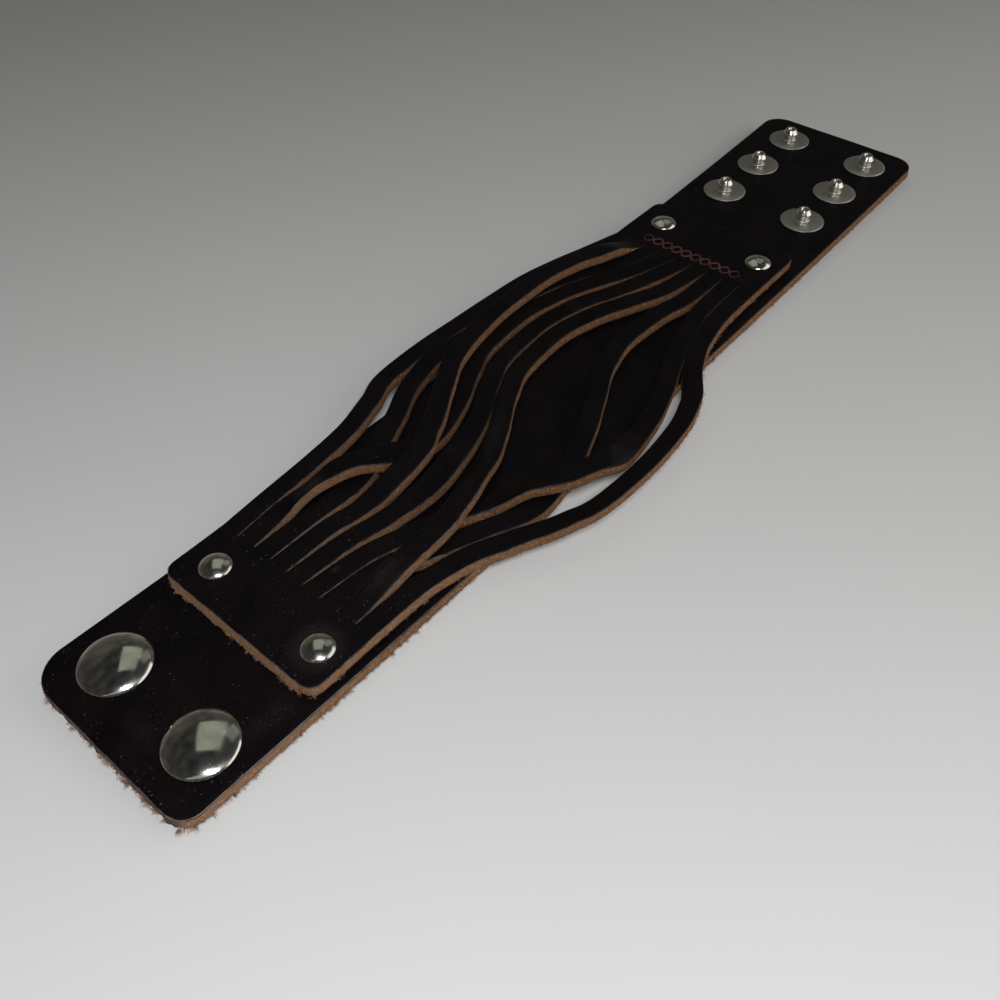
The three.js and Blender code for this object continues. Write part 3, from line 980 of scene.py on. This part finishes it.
class CUFF_OT_strap(bpy.types.Operator):
    """Make the plain strap with its raw edges"""

    bl_idname = "cuff.strap"
    bl_label = "Strap"

    def execute(self, context):
        leather, _, _ = settings()
        hide = make_strap_mesh(leather)
        scuffs_and_sheen = [
            {"x": 20, "y": -16, "long": 9, "wide": 3, "strength": 0.35},
            {"x": 6, "y": -2, "long": 3, "wide": 7, "strength": 0.25},
        ]
        piece = hide.finish("Strap", [
            # The last list gives a painted highlight line along the strap's -Y edge near the cap end.
            face_material("Strap good side", leather, scuffs_and_sheen, [], [{"start": 20, "end": 75, "side": -15}]),
            raw_material("Strap cut edge", leather, True),
            flesh_material("Strap flesh side", leather),
        ])
        seat(piece, "strap_leather", "strap")
        return {"FINISHED"}


class CUFF_OT_panel(bpy.types.Operator):
    """Make the slit panel with its woven strands"""

    bl_idname = "cuff.panel"
    bl_label = "Woven panel"

    def execute(self, context):
        leather, _, _ = settings()
        hide = make_panel_mesh(leather)
        scuffs_and_sheen = [
            # Painted sheen: this first spot, lighter and rougher, marks where the eighth strand climbs and
            # catches the light.
            {"x": 22, "y": -12.2, "long": 8, "wide": 1.7, "strength": 0.3},
            {"x": 19, "y": -3.5, "long": 1.2, "wide": 0.8, "strength": 1},
            {"x": 60, "y": -12.5, "long": 20, "wide": 2, "strength": 0.3},
        ]
        halos = [{"x": 6.5, "y": -13.4, "inner": 2.8, "outer": 6, "strength": 0.55}]
        piece = hide.finish("Woven_panel", [
            face_material("Panel good side", leather, scuffs_and_sheen, halos),
            raw_material("Panel cut edge", leather),
            flesh_material("Panel flesh side", leather),
        ])
        seat(piece, "panel_leather", "woven_panel")
        return {"FINISHED"}


def bead(points, width, height):
    """Corners and faces of a low rounded bead along the points, which lie in one plane."""
    section = [(-0.5, -1), (-0.5, 0), (-0.3, 0.8), (0, 1), (0.3, 0.8), (0.5, 0), (0.5, -1)]
    count = len(section)
    corners, faces = [], []
    for i, point in enumerate(points):
        run = (points[min(i + 1, len(points) - 1)] - points[max(i - 1, 0)]).normalized()
        across = Vector((-run.y, run.x, 0))
        thin = min(1, 0.25 + 6 * i / len(points), 0.25 + 6 * (len(points) - 1 - i) / len(points))
        for side, up in section:
            corners.append(point + across * (side * width * thin) + Vector((0, 0, up * height)))
    for i in range(len(points) - 1):
        for k in range(count):
            a, b = i * count + k, i * count + (k + 1) % count
            faces.append((a, b, b + count, a + count))
    faces.append(tuple(reversed(range(count))))
    faces.append(tuple(range((len(points) - 1) * count, len(points) * count)))
    return corners, faces


def wax_material(name, leather):
    s = Shader(name)
    place = s.object_place()
    clouds = s.noise(place, 900, 3, 0.6)
    dark = tuple(channel * 0.3 for channel in leather.wave_colour)
    pale = tuple(min(1, channel * 2.2) for channel in leather.wave_colour)
    colour = s.mix(s.remap(clouds, 0.32, 0.6), dark, leather.wave_colour)
    s.set("Base Color", s.mix(s.remap(s.noise(place, 2600, 3), 0.5, 0.75), colour, pale))
    s.set("Roughness", 0.62)
    s.set("Specular IOR Level", 0.3)
    s.set("Normal", s.bump(clouds, 0.05 * MM, 0.7))
    return s.material


class CUFF_OT_wave(bpy.types.Operator):
    """Make the tooled wave across the panel's far end"""

    bl_idname = "cuff.wave"
    bl_label = "Tooled wave"

    def execute(self, context):
        leather, _, _ = settings()
        places, faces = [], []
        half, wavelength, swing = 13 * MM, 5.2 * MM, 1.25 * MM
        line, steps = 136.2 * MM, 240
        for turn in (0, 1):
            points = []
            for i in range(steps + 1):
                y = half - 2 * half * i / steps
                phase = 2 * math.pi * (y / wavelength) + turn * math.pi
                x = line + swing * math.sin(phase)
                points.append(panel_origin() + Vector((x, y, leather.thickness)))
            corners, sides = bead(points, 0.55 * MM, 0.07 * MM)
            start = len(places)
            places.extend(corners)
            faces.extend(tuple(start + corner for corner in face) for face in sides)
        mesh = plain_mesh("Tooled_wave", places, faces, wax_material("Reddish wax", leather))
        piece = link_piece("Tooled_wave", mesh)
        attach(piece, BODY)
        return {"FINISHED"}


class CUFF_OT_caps(bpy.types.Operator):
    """Make the two snap caps"""

    bl_idname = "cuff.caps"
    bl_label = "Snap caps"

    def execute(self, context):
        _, metal, _ = settings()
        size = node_size("snap_cap_1")
        radius = size.x / 2
        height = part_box("snap_cap_1")[1].z - STRAP_TOP
        rim = 0.2 * MM
        profile = [(0, 0), (radius - rim, 0)]
        profile += arc((radius - rim, rim), (rim, rim), -90, 35, 8)
        profile += dome(radius - 0.3 * rim, 1.75 * rim, height, 24)
        material = nickel_material("Polished nickel", metal.nickel, 0.1, 0.1)
        mesh = turned("Snap cap", profile, metal.sides, [material])
        leaning = lean_dome(mesh, radius, 1.9 * rim, (0.7, -0.7), 0.09)
        for number, (node, shape) in enumerate(zip(CAPS, (leaning, mesh)), 1):
            place_copy(shape, f"Snap_cap_{number}", node, "cap_metal", STRAP_TOP)
        return {"FINISHED"}


class CUFF_OT_rivets(bpy.types.Operator):
    """Make the four rivets and their backs"""

    bl_idname = "cuff.rivets"
    bl_label = "Rivets"

    def execute(self, context):
        leather, metal, _ = settings()
        radius = node_size("rivet_1").x / 2
        panel_top = STRAP_TOP + leather.thickness
        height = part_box("rivet_1")[1].z - panel_top
        rim = 0.14 * MM
        profile = [(0, -0.3 * MM), (radius * 0.8, -0.3 * MM), (radius - rim, 0)]
        profile += arc((radius - rim, rim), (rim, rim), -90, 35, 6)
        profile += dome(radius - 0.3 * rim, 1.75 * rim, height, 18)
        material = nickel_material("Rivet nickel", metal.nickel, 0.14, 0.1)
        mesh = turned("Rivet", profile, metal.sides, [material])
        for number, node in enumerate(RIVETS, 1):
            place_copy(mesh, f"Rivet_{number}", node, "rivet_metal", panel_top)
        foot = STRAP_LOW.z
        dimple = [(0, -foot * 0.45), (radius * 0.3, -foot * 0.5), (radius * 0.42, -foot * 0.96)]
        back = dimple + arc((radius * 0.62, -foot * 0.5), (radius * 0.38, foot * 0.5), -100, 0, 8)
        back += [(radius, -0.2 * MM), (radius - 0.2 * MM, 0), (0, 0)]
        mesh = turned("Rivet back", back, metal.sides, [material])
        for number, node in enumerate(RIVET_BACKS, 1):
            place_copy(mesh, f"Rivet_back_{number}", node, "rivet_metal", foot)
        return {"FINISHED"}


class CUFF_OT_snaps(bpy.types.Operator):
    """Make the studs, their posts and the spring sockets"""

    bl_idname = "cuff.snaps"
    bl_label = "Studs, posts and sockets"

    def execute(self, context):
        _, metal, _ = settings()
        satin = nickel_material("Satin nickel", metal.satin, 0.38, 0.12)
        polished = nickel_material("Polished stud", metal.nickel, 0.16, 0.06)
        self.make_studs(metal, satin, polished)
        self.make_posts(metal, satin)
        self.make_sockets(metal, satin)
        return {"FINISHED"}

    def make_studs(self, metal, satin, polished):
        flange = node_size("snap_stud_1").x / 2
        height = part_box("snap_stud_1")[1].z - STRAP_TOP
        neck, head, ring = 1.55 * MM, 1.95 * MM, 1.05 * MM
        rim = 0.16 * MM
        flat_part = [(0, 0), (flange - rim, 0)]
        flat_part += arc((flange - rim, rim), (rim, rim), -90, 60, 6)
        flat_part += [(flange * 0.85, 0.42 * MM), (flange * 0.68, 0.5 * MM), (flange * 0.5, 0.5 * MM)]
        flat_part += arc((neck + 0.5 * MM, 0.95 * MM), (0.5 * MM, 0.45 * MM), -90, -180, 5)
        head_part = [(neck, height * 0.5)]
        head_part += arc((head - 0.42 * MM, height * 0.66), (0.42 * MM, height * 0.12), -60, 40, 6)
        head_part += arc((ring, height - 0.3 * MM), (0.36 * MM, 0.3 * MM), 20, 165, 8)
        head_part += [(ring * 0.5, height - 0.55 * MM), (0, height - 0.6 * MM)]
        profile = flat_part + head_part
        mesh = turned("Snap stud", profile, metal.sides, [satin, polished])
        first = (len(flat_part) - 1) * metal.sides
        for face in mesh.polygons[first:]:
            face.material_index = 1
        for number, node in enumerate(STUDS, 1):
            place_copy(mesh, f"Snap_stud_{number}", node, "snap_metal", STRAP_TOP)

    def make_posts(self, metal, satin):
        foot = STRAP_LOW.z
        radius = node_size("snap_post_1").x / 2
        profile = [(0, -foot * 0.8), (radius * 0.16, -foot * 0.82), (radius * 0.24, -foot)]
        profile += [(radius * 0.62, -foot)]
        profile += arc((radius * 0.62, -foot * 0.42), (radius * 0.38, foot * 0.58), -85, 0, 8)
        profile += [(radius, -0.2 * MM), (radius - 0.2 * MM, 0), (0, 0)]
        mesh = turned("Snap post", profile, metal.sides, [satin])
        for number, node in enumerate(POSTS, 1):
            place_copy(mesh, f"Snap_post_{number}", node, "snap_metal", foot)

    def make_sockets(self, metal, satin):
        foot = STRAP_LOW.z
        radius = node_size("snap_socket_1").x / 2
        bore = 2.1 * MM
        lip = 0.35 * MM
        profile = [(0, 0), (bore, 0), (bore, -foot + 2 * lip)]
        profile += arc((bore + lip, -foot + lip), (lip, lip), 150, 270, 6)
        profile += [(radius * 0.7, -foot), (radius * 0.74, -foot + 0.3 * MM)]
        profile += [(radius * 0.84, -foot + 0.35 * MM), (radius * 0.87, -foot + 0.12 * MM)]
        profile += arc((radius - lip, -foot + 1.5 * lip), (lip, lip), -80, 0, 6)
        profile += [(radius, -lip), (radius - lip, 0), (bore + lip, 0.01 * MM), (0, 0.01 * MM)]
        mesh = turned("Snap socket", profile, metal.sides, [satin])
        for number, node in enumerate(SOCKETS, 1):
            place_copy(mesh, f"Snap_socket_{number}", node, "snap_metal", foot)


class CUFF_OT_fibres(bpy.types.Operator):
    """Make the loose fibres on the cut edges"""

    bl_idname = "cuff.fibres"
    bl_label = "Edge fibres"

    def execute(self, context):
        leather, _, _ = settings()
        fibres = Fibres(11)
        draw = fibres.random
        span, halves, corners = strap_shape(leather)
        measure = outline_distance(span, halves, corners)
        outline = outline_points(span, halves, corners)
        for flat in outline:
            outward = measure(flat)[1]
            foot = strap_origin() + flat
            for _ in range(2):
                level = Vector((0, 0, draw.uniform(0, 0.75) ** 2 * leather.thickness))
                fibres.tuft(foot + level, outward, draw.uniform(0.15, 0.4) * MM, 1, 0.1 * MM)
        for _ in range(leather.fibre_count):
            flat = draw.choice(outline)
            outward = measure(flat)[1]
            level = Vector((0, 0, draw.uniform(0, 0.5) * MM))
            reach = draw.choice((0.3, 0.4, 0.5, 0.6, 0.9)) * MM
            reach *= 1.35 - 0.6 * smooth_step(0, 0.05, flat.x)
            fibres.tuft(strap_origin() + flat + level, outward, reach, draw.randint(4, 10), 0.1 * MM)
        half = leather.cap_end_width / 2
        for _ in range(46):
            y = draw.uniform(4 * MM - half, half - 5 * MM)
            reach = draw.choice((0.5, 0.7, 0.9, 1.2)) * MM
            spot = Vector((0, y, draw.uniform(0, 0.7) * MM))
            fibres.tuft(strap_origin() + spot, Vector((-1, 0, 0)), reach, draw.randint(6, 11), 0.1 * MM)
        for _ in range(30):
            x = draw.uniform(3, 60) * MM
            spot = Vector((x, row_sides(x, span, halves, corners)[1], draw.uniform(0, 0.4) * MM))
            reach = draw.choice((0.5, 0.7, 1)) * MM
            fibres.tuft(strap_origin() + spot, Vector((0, -1, 0)), reach, draw.randint(4, 8), 0.1 * MM)
        corner = Vector((1.6 * MM, -leather.cap_end_width / 2 + 1.6 * MM, 0))
        for _ in range(7):
            spot = corner + Vector((draw.gauss(0, 0.9) * MM, draw.gauss(0, 0.5) * MM, 0.3 * MM))
            fibres.tuft(strap_origin() + spot, Vector((-0.7, -0.7, 0)), 1.5 * MM, 8, 0.1 * MM)
        piece = fibres.finish("Strap_fibres", fibre_material("Loose fibre", leather))
        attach(piece, BODY)
        self.panel_fibres(leather)
        return {"FINISHED"}

    def panel_fibres(self, leather):
        """Fibres on the panel's front edge and along its -Y side."""
        fibres = Fibres(23)
        draw = fibres.random
        measure = outline_distance(*panel_shape(leather))
        low = STRAP_TOP + 0.15 * MM
        lean = leather.panel_lean
        for flat in outline_points(*panel_shape(leather)):
            if flat.x > leather.slit_inset:
                continue
            outward = measure(flat)[1]
            front = max(0, -outward.x)
            for _ in range(3 if front else 2):
                share = draw.random()
                foot = panel_origin() + flat + Vector((0, 0, (1 - share) * leather.thickness * 0.85))
                foot += outward * (lean * front * share)
                fibres.tuft(foot, outward, draw.uniform(0.2, 0.45) * MM, draw.randint(1, 2), low)
            if draw.random() < 0.12:
                foot = panel_origin() + flat + outward * (lean * front) + Vector((0, 0, 0.3 * MM))
                fibres.tuft(foot, outward, draw.uniform(0.5, 0.8) * MM, 7, low)
        last = STRAND_COUNT - 1
        path = strand_path(last)
        spots = 1200
        for i in range(spots):
            row = strand_row(leather, path, last, (i + 0.5) / spots)
            share = draw.random() ** 0.7
            foot = row["sides"][1] + Vector((0, 0, (1 - share) * leather.thickness * 0.8))
            reach = draw.choice((0.2, 0.25, 0.3, 0.4, 0.7)) * MM
            fibres.tuft(foot, row["outward"][1], reach, draw.randint(1, 3), low)
        piece = fibres.finish("Panel_fibres", fibre_material("Loose panel fibre", leather))
        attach(piece, BODY)


def outline_points(span, halves, corners):
    """Points all round a rounded outline, about a third of a millimetre apart."""
    points = []
    step = 0.33 * MM
    for i in range(int(span / step)):
        x = (i + 0.5) * step
        points += [Vector((x, side, 0)) for side in row_sides(x, span, halves, corners)]
    for x in (0, span):
        plus, minus = row_sides(x, span, halves, corners)
        points += [Vector((x, y, 0)) for y in np.arange(minus, plus, step)]
    return points


class CUFF_OT_stage(bpy.types.Operator):
    """Make the floor, the lights and the camera"""

    bl_idname = "cuff.stage"
    bl_label = "Stage"

    def execute(self, context):
        _, _, stage = settings()
        self.make_floor(stage)
        self.make_camera(context, stage)
        self.make_lights(context, stage)
        self.make_world(context)
        context.scene.view_settings.view_transform = "Standard"
        return {"FINISHED"}

    def make_floor(self, stage):
        mesh = bpy.data.meshes.new("Floor")
        reach = 1.1
        corners = [(x * reach, y * reach, 0) for x, y in ((-1, -1), (1, -1), (1, 1), (-1, 1))]
        mesh.from_pydata(corners, [], [(0, 1, 2, 3)])
        floor = link_piece("Floor", mesh)
        s = Shader("Pale floor")
        place = s.object_place()
        soft = s.noise(place, 6, 3, 0.5)
        darker = tuple(channel * 0.97 for channel in stage.floor_colour)
        s.set("Base Color", s.mix(s.remap(soft, 0.3, 0.7), stage.floor_colour, darker))
        s.set("Roughness", 0.6)
        s.set("Specular IOR Level", 0.3)
        mesh.materials.append(s.material)

    def make_camera(self, context, stage):
        data = bpy.data.cameras.new("Camera")
        data.lens = stage.lens
        data.sensor_width = 36
        data.clip_start, data.clip_end = 0.005, 50
        camera = bpy.data.objects.new("Camera", data)
        context.scene.collection.objects.link(camera)
        place, aim = Vector(stage.camera_place), Vector(stage.camera_aim)
        turn = (aim - place).to_track_quat("-Z", "Y").to_matrix().to_4x4()
        roll = Matrix.Rotation(stage.camera_roll, 4, "Z")
        camera.matrix_world = Matrix.Translation(place) @ turn @ roll
        context.scene.camera = camera

    def make_light(self, context, name, place, aim, size, watts, tint):
        data = bpy.data.lights.new(name, "AREA")
        data.shape = "RECTANGLE"
        data.size, data.size_y = size
        data.energy = watts
        data.color = tint
        light = bpy.data.objects.new(name, data)
        context.scene.collection.objects.link(light)
        heading = (Vector(aim) - Vector(place)).to_track_quat("-Z", "Y").to_matrix().to_4x4()
        light.matrix_world = Matrix.Translation(place) @ heading
        light.visible_camera = False

    def make_lights(self, context, stage):
        caps, far_floor, below_window = (-0.109, 0, 0), (0.125, -0.105, 0), (-0.4, -0.25, 0)
        cool, warm, leafy, pale_leafy = (0.985, 1, 1.01), (1, 0.96, 0.91), (0.9, 1, 0.8), (0.9, 1, 0.9)
        for light in (
            ("Window", (-0.192, -0.206, 0.356), below_window, (0.15, 0.06), stage.key_watts, cool),
            ("Window strip", (-0.2, -0.22, 0.38), caps, (0.9, 0.09), 0.09, cool),
            ("Far window", (0.25, -0.35, 0.17), far_floor, (0.55, 0.4), stage.fill_watts, warm),
            ("Skylight", (0.07, 0.185, 0.42), caps, (0.28, 0.4), 0.12, leafy),
            ("Skylight side", (0.27, 0.06, 0.33), caps, (0.18, 0.25), 0.03, pale_leafy),
        ):
            self.make_light(context, *light)

    def make_world(self, context):
        """A dim mottled surround for the metal to reflect, and a plain pale backdrop."""
        world = bpy.data.worlds.new("Soft surround")
        world.use_nodes = True
        nodes, links = world.node_tree.nodes, world.node_tree.links
        background = nodes["Background"]
        place = nodes.new("ShaderNodeTexCoord").outputs["Generated"]
        split = nodes.new("ShaderNodeSeparateXYZ")
        ramp = nodes.new("ShaderNodeValToRGB")
        links.new(place, split.inputs[0])
        links.new(split.outputs["Z"], ramp.inputs["Fac"])
        warm, green, blue = (1.1, 0.97, 0.86), (1, 0.98, 0.88), (0.95, 0.92, 1.05)
        stops = (
            (0.0, 0.26, warm),
            (0.12, 0.15, warm),
            (0.35, 0.075, green),
            (0.65, 0.042, green),
            (1.0, 0.03, blue),
        )
        elements = ramp.color_ramp.elements
        elements[0].position, elements[1].position = stops[0][0], stops[-1][0]
        for position, _, _ in stops[1:-1]:
            elements.new(position)
        for element, (_, grey, tint) in zip(elements, stops):
            element.color = (*(grey * channel for channel in tint), 1)
        clouds = nodes.new("ShaderNodeTexNoise")
        for name, value in (("Scale", 5), ("Detail", 5), ("Roughness", 0.62)):
            clouds.inputs[name].default_value = value
        links.new(place, clouds.inputs["Vector"])
        mottle = nodes.new("ShaderNodeMapRange")
        for socket, number in zip(mottle.inputs[1:5], (0.38, 0.64, 0.55, 1.55)):
            socket.default_value = number
        links.new(clouds.outputs["Fac"], mottle.inputs["Value"])
        links.new(mottle.outputs[0], background.inputs["Strength"])
        links.new(ramp.outputs["Color"], background.inputs["Color"])
        backdrop = nodes.new("ShaderNodeBackground")
        backdrop.inputs["Color"].default_value = (0.55, 0.56, 0.56, 1)
        seen = nodes.new("ShaderNodeLightPath")
        choice = nodes.new("ShaderNodeMixShader")
        links.new(seen.outputs["Is Camera Ray"], choice.inputs["Fac"])
        links.new(background.outputs[0], choice.inputs[1])
        links.new(backdrop.outputs[0], choice.inputs[2])
        links.new(choice.outputs[0], nodes["World Output"].inputs["Surface"])
        context.scene.world = world


class CUFF_PT_panel(bpy.types.Panel):
    """Sizes, colours and pieces of the cuff"""

    bl_label = "Leather cuff"
    bl_idname = "CUFF_PT_panel"
    bl_space_type = "VIEW_3D"
    bl_region_type = "UI"
    bl_category = "Cuff"

    def draw(self, context):
        for group in settings():
            box = self.layout.box()
            for name in group.__annotations__:
                box.prop(group, name)
        for operator in OPERATORS:
            self.layout.operator(operator.bl_idname)


OPERATORS = (
    CUFF_OT_stage,
    CUFF_OT_strap,
    CUFF_OT_panel,
    CUFF_OT_wave,
    CUFF_OT_caps,
    CUFF_OT_rivets,
    CUFF_OT_snaps,
    CUFF_OT_fibres,
)
CLASSES = (CuffLeatherSettings, CuffMetalSettings, CuffStageSettings, *OPERATORS, CUFF_PT_panel)


def register():
    for cls in CLASSES:
        bpy.utils.register_class(cls)
    bpy.types.Scene.cuff_leather = PointerProperty(type=CuffLeatherSettings)
    bpy.types.Scene.cuff_metal = PointerProperty(type=CuffMetalSettings)
    bpy.types.Scene.cuff_stage = PointerProperty(type=CuffStageSettings)


def unregister():
    del bpy.types.Scene.cuff_stage
    del bpy.types.Scene.cuff_metal
    del bpy.types.Scene.cuff_leather
    for cls in reversed(CLASSES):
        bpy.utils.unregister_class(cls)


def main():
    register()
    bpy.ops.cuff.stage()
    bpy.ops.cuff.strap()
    bpy.ops.cuff.panel()
    bpy.ops.cuff.wave()
    bpy.ops.cuff.caps()
    bpy.ops.cuff.rivets()
    bpy.ops.cuff.snaps()
    bpy.ops.cuff.fibres()


if __name__ == "__main__":
    main()
